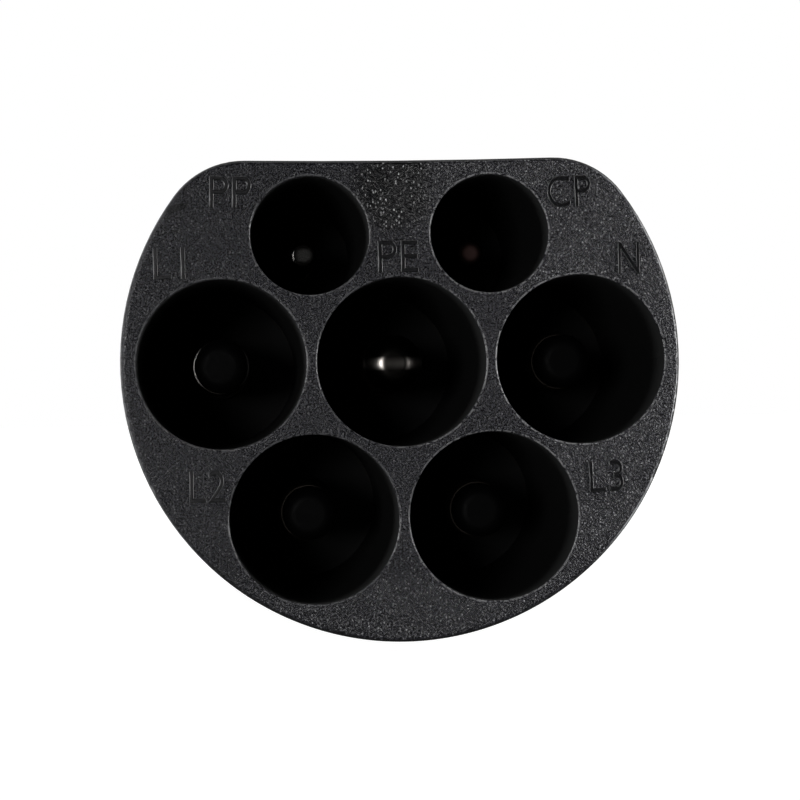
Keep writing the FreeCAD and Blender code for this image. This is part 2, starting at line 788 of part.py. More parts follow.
def front_room():
    """The room at the front of the handle that takes the insert's neck and flange."""
    body = new_body("front_room")
    for name, front, step, length in (
        ("rib_opening", "nose_length", "neck_step + front_rib_step",
         f"{COLLAR_END} + front_rib - nose_length"),
        ("neck_opening", "nose_length", "neck_step - flange_play", "neck_length"),
        ("flange_groove", FLANGE_FRONT, "flange_step - flange_play", "flange_length + flange_play"),
    ):
        outline = new_sketch(body, name + "_outline", "XZ_Plane", front)
        draw_nose(outline, step)
        pad(body, name, outline, length)
    return body


def boss_places():
    """Where the handle's four screws cross it: near the shoulder and near the heel."""
    front = f"({SHOULDER} + boss_setback)"
    inwards = "(handle_wall + boss_radius - boss_bite)"
    return {
        "upper_front": (front, f"{NOSE_TOP} - shoulder_drop - {inwards}"),
        "lower_front": (front, f"{BELLY} + shoulder_lift + {inwards}"),
        "upper_rear": (HEEL, f"heel_top - {inwards}"),
        "lower_rear": (HEEL, f"{BELLY} + {inwards}"),
    }


def make_handle():
    """Two moulded halves that close round the insert's flange and the gland's flange."""
    wide = "(2 * tail_half_width)"
    tall = f"(-4 * {BELLY})"
    low = f"(2 * {BELLY})"
    outer = handle_form("handle_outer", "0", collar=True)
    skin = handle_form("handle_skin", "groove_depth", collar=True)
    lines = [box("parting_slab", "-parting_half_width", "nose_length - cut_margin", low,
                 "2 * parting_half_width", f"{TAIL} - nose_length + 2 * cut_margin", tall)]
    first = f"(({WAIST} + {GRIP}) / 2 - (groove_count - 1) * groove_pitch / 2 - groove_width / 2)"
    for i in range(int(number("groove_count"))):
        lines.append(box(f"groove_{i}", f"-{wide}", f"{first} + {i} * groove_pitch", "-groove_low",
                         f"2 * {wide}", "groove_width", "groove_low + groove_high"))
    grooved = cut("grooved_form", outer, cut("surface_lines", fuse("line_slabs", lines), skin))

    inner = handle_form("handle_inner", "handle_wall", collar=False)
    room_front = f"({COLLAR_END} + front_rib)"
    room_back = f"({FLANGE_ROOM_FRONT} - rear_rib)"
    slab = box("middle_room", f"-{wide}", room_front, low, f"2 * {wide}", f"{room_back} - {room_front}", tall)
    rooms = [common("wire_room", inner, slab), front_room()]
    rooms.append(rod("rib_hole", "0", f"{room_back} - cut_margin", GLAND_Z, "gland_bore + rear_rib_step",
                     "rear_rib + 2 * cut_margin"))
    rooms.append(rod("flange_room", "0", FLANGE_ROOM_FRONT, GLAND_Z, "gland_flange_radius + gland_play",
                     "gland_flange_length + 2 * gland_play"))
    rooms.append(rod("tail_hole", "0", f"{TAIL_WALL_FRONT} - cut_margin", GLAND_Z,
                     "gland_radius + gland_play", "tail_wall + 2 * cut_margin"))
    shell = cut("handle_shell", grooved, fuse("handle_rooms", rooms))

    bosses, holes = [], []
    for name, (y, z) in boss_places().items():
        bosses.append(rod(f"boss_{name}", f"-{wide}", y, z, "boss_radius", f"2 * {wide}", "x"))
        holes.append(rod(f"bore_{name}", "-boss_hole_depth", y, z, "screw_radius + screw_play",
                         "boss_hole_depth + head_seat + cut_margin", "x"))
        holes.append(rod(f"head_well_{name}", "head_seat", y, z, "screw_head_radius + head_play", wide, "x"))
    bossed = fuse("bossed_shell", [shell, common("bosses", fuse("boss_bars", bosses), grooved)])
    whole = cut("handle_whole", bossed, fuse("handle_holes", holes))

    halves = []
    for name, x in (("handle_left", "0"), ("handle_right", f"-2 * {wide}")):
        other = box(name + "_cutter", x, "0", low, f"2 * {wide}", f"{TAIL} + cut_margin", tall)
        half = cut(name, whole, other)
        half.Label = name
        place(half)
        halves.append(half)
    return halves


def make_handle_screws():
    screws = [
        screw(f"handle_screw_{name}", "head_seat", y, z, "handle_screw_length", "x")
        for name, (y, z) in boss_places().items()
    ]
    screws = group("handle_screws", screws)
    place(screws)
    return screws


# Cable gland

def make_gland():
    """Threaded body held by the handle, rubber seal, pressure ring, nut and a flat gasket."""
    flange_front = f"({FLANGE_ROOM_FRONT} + gland_play)"
    flange_back = f"({flange_front} + gland_flange_length)"
    end = f"({TAIL} + gland_reach)"
    seal_front = f"({TAIL} + gasket_thickness + seal_ledge)"
    seat = "seal_radius + gland_play"
    body = turned("gland_body", [
        ("gland_bore", flange_front), ("gland_flange_radius", flange_front),
        ("gland_flange_radius", flange_back), ("gland_radius", flange_back),
        ("gland_radius", end), (seat, end), (seat, seal_front), ("gland_bore", seal_front),
    ])
    seal_end = f"({seal_front} + seal_length)"
    seal = turned("gland_seal", [
        ("cable_radius", seal_front), ("seal_radius", seal_front),
        ("seal_radius", seal_end), ("cable_radius", seal_end),
    ])
    ring_end = f"({OVERALL} - nut_lip)"
    ring = turned("pressure_ring", [
        ("cable_radius + ring_play", seal_end), ("seal_radius", seal_end),
        ("seal_radius", ring_end), ("nut_throat", ring_end),
    ])
    inside = "gland_radius + gland_play"
    nut = turned("gland_nut", [
        (inside, NUT_FRONT), ("nut_radius", NUT_FRONT), ("nut_radius", f"{OVERALL} - nut_round"),
        ("nut_radius - nut_round", OVERALL), ("nut_throat", OVERALL),
        ("nut_throat", ring_end), (inside, ring_end),
    ], {2: "nut_round"})
    flute = new_sketch(nut, "flute_outline", "XZ_Plane", NUT_FRONT)
    draw_circle(flute, "0", "nut_radius + flute_radius - flute_depth", "flute_radius")
    first = pocket(nut, "flute", flute, "nut_length - nut_round")
    flutes = add(nut, "PolarPattern", "flutes", Originals=[first], Axis=(flute, ["N_Axis"]), Angle=360)
    bind(flutes, Occurrences="flute_count")
    gasket = turned("gland_gasket", [
        (inside, TAIL), (f"{inside} + gasket_width", TAIL),
        (f"{inside} + gasket_width", NUT_FRONT), (inside, NUT_FRONT),
    ])
    made = [body, seal, ring, nut, gasket]
    for piece in made:
        place(piece, "0", GLAND_Z)
    return made


def make_resistor():
    """The coding resistor and its bent leads, from the proximity pin's barrel to the earth pin's."""
    span = f"sqrt(({PITCH} / 2)^2 + {PILOT_Z}^2)"
    start = "nose_length + pilot_barrel_length - lead_reach"
    back = "(nose_length + barrel_length + lead_gap)"
    body = new_body("coding_resistor")
    path = new_sketch(body, "lead_path", "XY_Plane")
    corners = [
        ("0", start), ("0", f"{back} - lead_bend"), ("lead_bend", back),
        (f"{span} - lead_bend", back), (span, f"{back} - lead_bend"),
        (span, "nose_length + barrel_length - lead_reach"),
    ]
    points = [(number(x), number(y)) for x, y in corners]
    bend = number("lead_bend")
    shapes = [
        Part.LineSegment(FreeCAD.Vector(*points[0], 0), FreeCAD.Vector(*points[1], 0)),
        arc_of((points[2][0], points[1][1]), bend, math.pi / 2, math.pi),
        Part.LineSegment(FreeCAD.Vector(*points[2], 0), FreeCAD.Vector(*points[3], 0)),
        arc_of((points[3][0], points[4][1]), bend, 0, math.pi / 2),
        Part.LineSegment(FreeCAD.Vector(*points[4], 0), FreeCAD.Vector(*points[5], 0)),
    ]
    for shape in shapes:
        path.addGeometry(shape, False)
    for first, end, second, begin in ((0, 2, 1, 2), (1, 1, 2, 1), (2, 2, 3, 2), (3, 1, 4, 1)):
        path.addConstraint(Sketcher.Constraint("Coincident", first, end, second, begin))
    for edge, position, corner in ((0, 1, 0), (0, 2, 1), (2, 1, 2), (2, 2, 3), (4, 1, 4), (4, 2, 5)):
        hold_point(path, edge, position, *corners[corner])
    for edge in (1, 3):
        hold(path, "Radius", edge, text="lead_bend")
    wire = new_sketch(body, "lead_section", "XZ_Plane", start)
    draw_circle(wire, "0", "0", "lead_radius")
    add(body, "AdditivePipe", "lead", Profile=wire, Spine=path)
    half = new_sketch(body, "resistor_profile", "XY_Plane")
    ends = (f"{span} / 2 - resistor_length / 2", f"{span} / 2 + resistor_length / 2")
    top = f"{back} + resistor_radius"
    draw_outline(half, [(ends[0], back), (ends[1], back), (ends[1], top), (ends[0], top)])
    add(body, "Revolution", "resistor_body", Profile=half, ReferenceAxis=(half, ["Edge1"]), Angle=360)
    body.Placement.Rotation = FreeCAD.Rotation(FreeCAD.Vector(0, 1, 0), 45)
    bind(body, Placement__Rotation__Angle=f"atan2({PILOT_Z}; {PITCH} / 2)")
    place(body, *PILOT_PINS["proximity"])
    return body


def save(pieces):
    """Checks every object and every piece, then writes one file for each piece."""
    doc.recompute()
    failed = [o.Name for o in doc.Objects if {"Invalid", "Error"} & set(o.State)]
    if failed:
        raise RuntimeError(f"these objects failed: {failed}")
    for piece in pieces:
        shape = piece.Shape
        if shape.isNull() or not shape.isValid() or not shape.Solids:
            raise RuntimeError(f"{piece.Label} has no valid solid")
    os.makedirs("parts", exist_ok=True)
    for piece in pieces:
        piece.Shape.exportStep(f"parts/{piece.Label}.step")
        print(piece.Label, len(piece.Shape.Solids), "solids", round(piece.Shape.Volume), "mm3")


def main():
    pieces = [make_insert()]
    pieces += make_power_pins() + make_pilot_pins()
    pieces.append(make_pin_seals(
        "power_pin_seals", POWER_PINS, "seal_section", "pin_radius + shank_step", "collar_length"
    ))
    pieces.append(make_pin_seals(
        "pilot_pin_seals", PILOT_PINS, "pilot_seal_section", "pilot_radius + pilot_shank_step",
        "pilot_collar_length"
    ))
    pieces += [make_plate(), make_plate_screws(), make_face_seal()]
    pieces += make_handle() + [make_handle_screws()]
    pieces += make_gland() + [make_resistor()]
    save(pieces)


main()
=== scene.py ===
import math

import bpy
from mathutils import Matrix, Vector


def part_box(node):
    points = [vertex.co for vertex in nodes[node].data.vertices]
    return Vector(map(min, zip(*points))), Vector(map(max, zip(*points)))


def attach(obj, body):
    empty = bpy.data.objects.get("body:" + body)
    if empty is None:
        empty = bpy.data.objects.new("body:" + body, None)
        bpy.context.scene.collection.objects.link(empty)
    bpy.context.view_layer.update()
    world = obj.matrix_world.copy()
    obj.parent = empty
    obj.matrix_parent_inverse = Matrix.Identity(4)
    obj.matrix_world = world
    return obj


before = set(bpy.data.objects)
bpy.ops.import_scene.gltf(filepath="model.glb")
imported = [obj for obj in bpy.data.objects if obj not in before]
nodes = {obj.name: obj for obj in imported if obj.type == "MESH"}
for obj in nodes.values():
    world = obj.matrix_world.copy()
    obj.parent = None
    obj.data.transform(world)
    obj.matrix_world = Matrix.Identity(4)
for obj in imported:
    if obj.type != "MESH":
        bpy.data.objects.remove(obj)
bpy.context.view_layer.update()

# Camera: it looks square at the face, from 250 mm in front of it and a little to the left, so the
# pins at the bottom of the chambers show left of the chambers' middles.
MM = 0.001
face_low, face_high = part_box("contact_insert")
face_y = face_low.y
face_middle = Vector((0, face_y, (face_low.z + face_high.z) / 2))
FACE_DISTANCE = 250 * MM
CAMERA_LEFT = 18.1 * MM
CAMERA_DOWN = 0.2 * MM
AIM_LEFT = 0.27 * MM
AIM_UP = 0.04 * MM
FRAME_WIDTH = 79.8 * MM
SENSOR_WIDTH = 36
CAMERA_ROLL = math.radians(1.0)
camera_place = face_middle + Vector((-CAMERA_LEFT, -FACE_DISTANCE, -CAMERA_DOWN))
sight = face_middle + Vector((-AIM_LEFT, 0, AIM_UP)) - camera_place
bpy.ops.object.camera_add(location=camera_place, rotation=(0, 0, 0))
camera = bpy.context.object
camera.name = "photo_camera"
camera.rotation_euler = sight.to_track_quat("-Z", "Y").to_euler()
camera.rotation_euler.rotate_axis("Z", -CAMERA_ROLL)
camera.data.sensor_width = SENSOR_WIDTH
camera.data.lens = SENSOR_WIDTH * sight.length / FRAME_WIDTH
camera.data.clip_start = 10 * MM
bpy.context.scene.camera = camera
bpy.context.scene.view_settings.view_transform = "Standard"

# White room: its walls are seen white, also in shiny surfaces, apart from the dark side in front
# of the object, where the lamps stand. It lights the object only at a plain level.
ROOM_LIGHT = 0.025
world = bpy.data.worlds.new("white_room")
bpy.context.scene.world = world
world.use_nodes = True
sky = world.node_tree.nodes["Background"]
sky.inputs["Color"].default_value = (1, 1, 1, 1)


def white_where_seen(tree, along, dark_at, pale_at, strength, low, high):
    """Sets a strength to high for camera rays, and for mirrored rays that meet the pale side."""
    seen_by = tree.nodes.new("ShaderNodeLightPath").outputs
    mirrored = tree.nodes.new("ShaderNodeMath")
    mirrored.operation = "MAXIMUM"
    tree.links.new(seen_by["Is Glossy Ray"], mirrored.inputs[0])
    tree.links.new(seen_by["Is Transmission Ray"], mirrored.inputs[1])
    side = tree.nodes.new("ShaderNodeMapRange")
    side.interpolation_type = "SMOOTHSTEP"
    side.inputs["From Min"].default_value = dark_at
    side.inputs["From Max"].default_value = pale_at
    tree.links.new(along, side.inputs["Value"])
    pale = tree.nodes.new("ShaderNodeMath")
    pale.operation = "MULTIPLY"
    tree.links.new(mirrored.outputs[0], pale.inputs[0])
    tree.links.new(side.outputs["Result"], pale.inputs[1])
    white = tree.nodes.new("ShaderNodeMath")
    white.operation = "MAXIMUM"
    tree.links.new(seen_by["Is Camera Ray"], white.inputs[0])
    tree.links.new(pale.outputs[0], white.inputs[1])
    level = tree.nodes.new("ShaderNodeMapRange")
    level.inputs["To Min"].default_value = low
    level.inputs["To Max"].default_value = high
    tree.links.new(white.outputs[0], level.inputs["Value"])
    tree.links.new(level.outputs["Result"], strength)


heading = world.node_tree.nodes.new("ShaderNodeTexCoord")
heading_parts = world.node_tree.nodes.new("ShaderNodeSeparateXYZ")
world.node_tree.links.new(heading.outputs["Generated"], heading_parts.inputs[0])
white_where_seen(
    world.node_tree, along=heading_parts.outputs["Y"], dark_at=-0.25, pale_at=0.15,
    strength=sky.inputs["Strength"], low=ROOM_LIGHT, high=1,
)

# Floor: a wide pale sheet that the plug lies on. It glows to the white of the room, keeps the
# shadow under the plug, and is darker in front of the face, where it would light it from below.
FLOOR_WIDTH = 6
bpy.ops.mesh.primitive_plane_add(size=FLOOR_WIDTH, location=(0, 0, 0))
floor = bpy.context.object
floor.name = "floor"
floor_paint = bpy.data.materials.new("floor_paint")
floor_paint.use_nodes = True
floor.data.materials.append(floor_paint)
paint = floor_paint.node_tree.nodes["Principled BSDF"]
paint.inputs["Roughness"].default_value = 0.9
paint.inputs["Specular IOR Level"].default_value = 0.1
floor_tree = floor_paint.node_tree
spot_on_floor = floor_tree.nodes.new("ShaderNodeTexCoord")
floor_parts = floor_tree.nodes.new("ShaderNodeSeparateXYZ")
floor_tree.links.new(spot_on_floor.outputs["Object"], floor_parts.inputs[0])
far = floor_tree.nodes.new("ShaderNodeVectorMath")
far.operation = "LENGTH"
floor_tree.links.new(spot_on_floor.outputs["Object"], far.inputs[0])


def floor_range(value, low, high, to_low, to_high):
    node = floor_tree.nodes.new("ShaderNodeMapRange")
    floor_tree.links.new(value, node.inputs["Value"])
    node.inputs["From Min"].default_value = low
    node.inputs["From Max"].default_value = high
    node.inputs["To Min"].default_value = to_low
    node.inputs["To Max"].default_value = to_high
    return node.outputs["Result"]


glow = floor_range(far.outputs["Value"], 0.25, 0.7, 0.96, 1)
paleness = floor_range(floor_parts.outputs["Y"], -0.20, -0.12, 0.04, 0.3)
floor_tree.links.new(paleness, paint.inputs["Base Color"])
grey = floor_tree.nodes.new("ShaderNodeCombineColor")
for channel in ("Red", "Green", "Blue"):
    floor_tree.links.new(glow, grey.inputs[channel])
floor_tree.links.new(grey.outputs[0], paint.inputs["Emission Color"])
white_where_seen(
    floor_tree, along=floor_parts.outputs["Y"], dark_at=-0.10, pale_at=0,
    strength=paint.inputs["Emission Strength"], low=0, high=1,
)

# Lamps: two small ones near the camera put a glint on the pins, deep in the chambers. Two close
# ones rake across the face from the sides, and a large soft box hangs above and behind.
for name, shape, azimuth, height, distance, width, tall, power in (
    ("left_pin_lamp", "ELLIPSE", -20, 0.05, 0.84, 0.27, 0.13, 1.6),
    ("right_pin_lamp", "ELLIPSE", 31, 0.04, 0.84, 0.05, 0.05, 0.08),
    ("left_rake", "RECTANGLE", -74, 0.036, 0.15, 0.05, 0.06, 0.11),
    ("right_rake", "RECTANGLE", 74, 0.036, 0.14, 0.05, 0.06, 0.14),
    ("top_softbox", "RECTANGLE", 180, 0.95, 0.12, 0.6, 0.6, 4.5),
):
    angle = math.radians(azimuth)
    spot = Vector((math.sin(angle) * distance, face_y - math.cos(angle) * distance, height))
    bpy.ops.object.light_add(type="AREA", location=spot)
    lamp = bpy.context.object
    lamp.name = name
    lamp.visible_camera = False
    lamp.data.shape = shape
    lamp.data.size = width
    lamp.data.size_y = tall
    lamp.data.energy = power
    lamp.rotation_euler = (face_middle - spot).to_track_quat("-Z", "Y").to_euler()

# Contact insert: the nose, moulded in one piece from black glass-filled nylon. The tool gives its
# face a coarse grain and leaves the deep chambers smooth. Painted light: glints in the grain,
# highlights on the rims and edges, and shade on the chambers' walls.
BELLY_RADIUS = 28 * MM
axis_z = face_low.z + BELLY_RADIUS
PITCH = 18 * MM
ROW_DROP = PITCH * math.sqrt(3) / 2
PILOT_REACH = 15.57 * MM
PILOT_RISE = math.sqrt(PILOT_REACH ** 2 - (PITCH / 2) ** 2)
LARGE, SMALL = 8.45 * MM, 5.9 * MM
chambers = {
    "earth": (0, 0, LARGE),
    "line_1": (-PITCH, 0, LARGE),
    "neutral": (PITCH, 0, LARGE),
    "line_2": (-PITCH / 2, -ROW_DROP, LARGE),
    "line_3": (PITCH / 2, -ROW_DROP, LARGE),
    "proximity": (-PITCH / 2, PILOT_RISE, SMALL),
    "pilot": (PITCH / 2, PILOT_RISE, SMALL),
}


class Finish:
    """A material being put together: most methods add nodes and return the last one's output."""

    def __init__(self, name, color, roughness, specular=0.5):
        self.material = bpy.data.materials.new(name)
        self.material.use_nodes = True
        self.tree = self.material.node_tree
        self.shader = self.tree.nodes["Principled BSDF"]
        self.shader.inputs["Base Color"].default_value = (*color, 1)
        self.shader.inputs["Roughness"].default_value = roughness
        self.shader.inputs["Specular IOR Level"].default_value = specular
        self.place = self.tree.nodes.new("ShaderNodeTexCoord").outputs["Object"]

    def link(self, value, socket):
        if isinstance(value, bpy.types.NodeSocket):
            self.tree.links.new(value, socket)
        else:
            socket.default_value = value

    def math(self, operation, *values):
        node = self.tree.nodes.new("ShaderNodeMath")
        node.operation = operation
        for value, socket in zip(values, node.inputs):
            self.link(value, socket)
        return node.outputs[0]

    def times(self, first, second):
        return self.math("MULTIPLY", first, second)

    def plus(self, first, second):
        return self.math("ADD", first, second)

    def minus(self, first, second):
        return self.math("SUBTRACT", first, second)

    def larger(self, first, second):
        return self.math("MAXIMUM", first, second)

    def square_sum(self, first, second):
        return self.plus(self.math("POWER", first, 2), self.math("POWER", second, 2))

    def reach(self, across, up):
        return self.math("SQRT", self.square_sum(across, up))

    def split(self, vector):
        node = self.tree.nodes.new("ShaderNodeSeparateXYZ")
        self.link(vector, node.inputs[0])
        return node.outputs

    def stretch(self, scale):
        node = self.tree.nodes.new("ShaderNodeMapping")
        node.inputs["Scale"].default_value = scale
        self.link(self.place, node.inputs["Vector"])
        return node.outputs[0]

    def noise(self, scale, detail=2.0, rough=0.5, vector=None):
        node = self.tree.nodes.new("ShaderNodeTexNoise")
        node.inputs["Scale"].default_value = scale
        node.inputs["Detail"].default_value = detail
        node.inputs["Roughness"].default_value = rough
        self.link(vector or self.place, node.inputs["Vector"])
        return node.outputs["Fac"]

    def cells(self, scale, feature="F1", vector=None):
        node = self.tree.nodes.new("ShaderNodeTexVoronoi")
        node.feature = feature
        node.inputs["Scale"].default_value = scale
        self.link(vector or self.place, node.inputs["Vector"])
        return node.outputs

    def ramp(self, value, low, high, to_low=0.0, to_high=1.0):
        node = self.tree.nodes.new("ShaderNodeMapRange")
        node.interpolation_type = "SMOOTHSTEP"
        self.link(value, node.inputs["Value"])
        node.inputs["From Min"].default_value = low
        node.inputs["From Max"].default_value = high
        self.link(to_low, node.inputs["To Min"])
        self.link(to_high, node.inputs["To Max"])
        return node.outputs["Result"]

    def fall(self, value, low, high):
        return self.ramp(value, low, high, 1.0, 0.0)

    def specks(self, cells, size, chosen):
        """Round specks in the middle of the cells whose own random number is high enough."""
        speck = self.fall(cells["Distance"], *size)
        return self.times(speck, self.ramp(self.split(cells["Color"])[0], *chosen))

    def blend(self, share, first, second):
        node = self.tree.nodes.new("ShaderNodeMix")
        node.data_type = "RGBA"
        self.link(share, node.inputs["Factor"])
        for value, socket in ((first, node.inputs["A"]), (second, node.inputs["B"])):
            self.link((*value, 1) if isinstance(value, tuple) else value, socket)
        return node.outputs["Result"]

    def bump(self, height, depth, strength=1.0):
        node = self.tree.nodes.new("ShaderNodeBump")
        node.inputs["Distance"].default_value = depth
        self.link(strength, node.inputs["Strength"])
        self.link(height, node.inputs["Height"])
        self.link(node.outputs[0], self.shader.inputs["Normal"])

    def color(self, value):
        self.link(value, self.shader.inputs["Base Color"])

    def roughness(self, value):
        self.link(value, self.shader.inputs["Roughness"])

    def wear(self, *names):
        for name in names:
            nodes[name].data.materials.clear()
            nodes[name].data.materials.append(self.material)


nylon = Finish("moulded_nylon", (0.012, 0.0125, 0.014), 0.3, 0.4)
x, y, z = nylon.split(nylon.place)
depth = nylon.minus(y, face_y)


def reach_from(right, up):
    """Distance from a spot on the face that is given from the earth pin."""
    return nylon.reach(nylon.minus(x, right), nylon.minus(z, axis_z + up))


# Where a point lies: how far outside the nearest chamber, in a chamber, on the face, at a side.
rim = 1.0
for right, up, radius in chambers.values():
    rim = nylon.math("MINIMUM", rim, nylon.minus(reach_from(right, up), radius))
inside = nylon.times(nylon.ramp(depth, 0.2 * MM, 0.9 * MM), nylon.fall(rim, 0.1 * MM, 0.3 * MM))
on_face = nylon.fall(depth, 0.05 * MM, 0.4 * MM)
at_mouth = nylon.fall(rim, 0.27 * MM, 0.36 * MM)
to_right = nylon.ramp(x, -22 * MM, 24 * MM)
to_belly = nylon.ramp(z, axis_z - 16 * MM, axis_z - 26 * MM)
at_right = nylon.ramp(x, 17 * MM, 23 * MM)
at_left = nylon.ramp(x, -17 * MM, -23 * MM)
outer_skin = nylon.times(nylon.ramp(depth, 0.8 * MM, 1.6 * MM), nylon.minus(1.0, inside))

# Grain of the mould, and the gate where the nylon flowed in, rough with larger crystals.
GATE_PLACE = (-0.6 * MM, 17.2 * MM)
fine = nylon.noise(5400, 1.3, 0.5)
broad = nylon.noise(320, 3, 0.6)
crystals = nylon.noise(3400, 1, 0.5)
from_gate = nylon.plus(reach_from(*GATE_PLACE), nylon.times(broad, 3 * MM))
gate = nylon.times(on_face, nylon.fall(from_gate, 4.4 * MM, 6.4 * MM))
# Painted glints: bright specks for the gate's colour.
gate_glints = nylon.specks(nylon.cells(3900, vector=nylon.stretch((1, 1, 0.6))), (0.12, 0.36), (0.45, 0.8))

# The grain is coarsest at the right and at the belly, and least so between the chambers; there too
# lie most of the painted glints, bright specks in its colour.
off_core = nylon.ramp(reach_from(0, -4 * MM), 11 * MM, 19 * MM)
lively = nylon.times(nylon.larger(to_right, nylon.times(to_belly, 0.8)), off_core)
lively = nylon.larger(lively, nylon.times(gate, 0.15))
painted_glints = nylon.specks(nylon.cells(3200), (0.14, 0.40), (0.25, 1.0))
painted_glints = nylon.times(painted_glints, nylon.ramp(lively, 0, 1, 0.35, 1.0))

# A dark scuff on the upper left shoulder: a small ellipse, a little turned.
SCUFF_PLACE = (-22.1 * MM, 15.6 * MM)
SCUFF_LONG, SCUFF_HIGH = 1.25 * MM, 0.4 * MM
SCUFF_TURN = math.radians(16)
along = nylon.minus(x, SCUFF_PLACE[0])
over = nylon.minus(z, axis_z + SCUFF_PLACE[1])
far_along = nylon.plus(nylon.times(along, math.cos(SCUFF_TURN) / SCUFF_LONG),
                       nylon.times(over, math.sin(SCUFF_TURN) / SCUFF_LONG))
far_over = nylon.minus(nylon.times(over, math.cos(SCUFF_TURN) / SCUFF_HIGH),
                       nylon.times(along, math.sin(SCUFF_TURN) / SCUFF_HIGH))
scuff = nylon.fall(nylon.square_sum(far_along, far_over), 0.5, 1.2)

# Painted highlights: a beaded bright line round each chamber's mouth, bright patches on the right
# outer edge, and a pale band on the left outer edge.
rim_line = nylon.times(nylon.ramp(rim, 0.02 * MM, 0.07 * MM), nylon.fall(rim, 0.16 * MM, 0.25 * MM))
rim_highlight_beads = nylon.times(rim_line, nylon.ramp(nylon.noise(2900, 1.5), 0.4, 0.54))
at_edge = nylon.times(nylon.minus(1.0, at_mouth), nylon.ramp(depth, 0.03 * MM, 0.09 * MM))
right_edge_highlight = nylon.times(nylon.times(at_right, at_edge), nylon.ramp(broad, 0.35, 0.55))
left_edge_highlight_band = nylon.times(nylon.ramp(depth, 0.14 * MM, 0.2 * MM), nylon.fall(depth, 0.35 * MM, 0.6 * MM))

# The look of the face goes a little way over its rounded edges before the outer sides begin.
over_edge = nylon.plus(nylon.times(at_mouth, 0.07 * MM),
                       nylon.times(nylon.larger(at_right, at_left), 0.09 * MM))
beside = nylon.ramp(nylon.minus(depth, over_edge), 0.05 * MM, 0.12 * MM)
mottle = nylon.times(outer_skin, nylon.ramp(nylon.noise(700, 4, 0.65), 0.35, 0.7))

# Colour: the face first, then the gate, the scuff and the painted highlights on rims and edges, the
# outer sides and the chambers' walls, whose darkness is painted shade.
# Painted light: the grain's pale flecks grow lighter towards the right.
flecks_lit_right = nylon.blend(to_right, (0.0275, 0.0272, 0.033), (0.037, 0.0362, 0.044))
shade = nylon.blend(nylon.ramp(fine, 0.42, 0.60), (0.002, 0.0021, 0.003), flecks_lit_right)
# Painted glints: bright specks in the grain's colour.
shade = nylon.blend(painted_glints, shade, (0.24, 0.24, 0.25))
# The gate is dark, with painted glints as bright specks in it.
gate_tone_with_glints = nylon.blend(nylon.times(gate_glints, gate), (0.0005, 0.0005, 0.001), (0.55, 0.55, 0.56))
shade = nylon.blend(nylon.times(gate, 0.95), shade, gate_tone_with_glints)
shade = nylon.blend(nylon.times(scuff, 0.85), shade, (0.002, 0.002, 0.0025))
# Painted highlight: bright patches on the right outer edge.
shade = nylon.blend(nylon.times(right_edge_highlight, 0.85), shade, (0.35, 0.35, 0.36))
# Painted highlight: the beaded rim lines, brighter towards the right.
rim_highlight_tone = nylon.blend(nylon.ramp(x, -2 * MM, 8 * MM), (0.10, 0.10, 0.104), (0.22, 0.22, 0.225))
shade = nylon.blend(nylon.times(rim_highlight_beads, 0.8), shade, rim_highlight_tone)
# Painted highlight: a pale band on the left outer edge, then the sides' own mottle.
flank = nylon.blend(nylon.times(at_left, left_edge_highlight_band), (0.0035, 0.0036, 0.004), (0.11, 0.11, 0.113))
flank = nylon.blend(mottle, flank, (0.011, 0.0112, 0.0125))
shade = nylon.blend(beside, shade, flank)
# Painted shade: the chambers' walls are painted darker than the face.
nylon.color(nylon.blend(inside, shade, (0.003, 0.0034, 0.0034)))

# Gloss: the face shines most, the worn left edge and the chambers' walls least.
dull_edge = nylon.times(at_left, nylon.ramp(depth, 0.01 * MM, 0.05 * MM, 0.0, 0.65))
dull = nylon.larger(nylon.ramp(beside, 0, 1, 0.26, 0.8), dull_edge)
dull = nylon.ramp(outer_skin, 0, 1, dull, nylon.ramp(mottle, 0, 1, 0.44, 0.58))
nylon.roughness(nylon.ramp(inside, 0, 1, dull, 0.75))

# Relief of the grain, flattened where the rims are worn, on the edge and in the chambers.
GRAIN_DEPTH = 0.24 * MM
grain = nylon.plus(fine, nylon.times(crystals, nylon.ramp(lively, 0, 1, 0.3, 0.9)))
coarse = nylon.ramp(nylon.plus(lively, nylon.times(broad, 0.4)), 0.1, 1.1, 0.5, 1.0)
flat = nylon.larger(nylon.times(nylon.times(at_mouth, on_face), 0.55),
                    nylon.ramp(depth, 0.005 * MM, 0.02 * MM, 0.0, 0.7))
grain_left = nylon.times(nylon.ramp(inside, 0, 1, 1.0, 0.03), nylon.ramp(flat, 0, 1, 1.0, 0.08))
strength = nylon.larger(nylon.times(grain_left, coarse), nylon.times(outer_skin, 0.16))
nylon.bump(grain, GRAIN_DEPTH, strength)
nylon.wear("contact_insert")

# Pins: turned brass with a silver plate. Fine tool marks run round them. Their colour carries
# painted light: bright glint bands at the front, a painted dark flat end on the earth pin, painted
# shade further in, and darker, shaded copies of the plate on the pins that sit in shade.
PILOT_PIN_Z = PILOT_RISE - 0.8 * MM
# Painted shade: the plate's colour deep in the chambers, and beyond the glint bands.
DEEP_PAINTED_SHADE = (0.03, 0.026, 0.022)
PAINTED_SHADE_OFF_GLINT = (0.008, 0.0075, 0.007)
TOOL_MARKS = (300, 9000, 300)


def darker(color, share):
    return tuple(share * part for part in color)


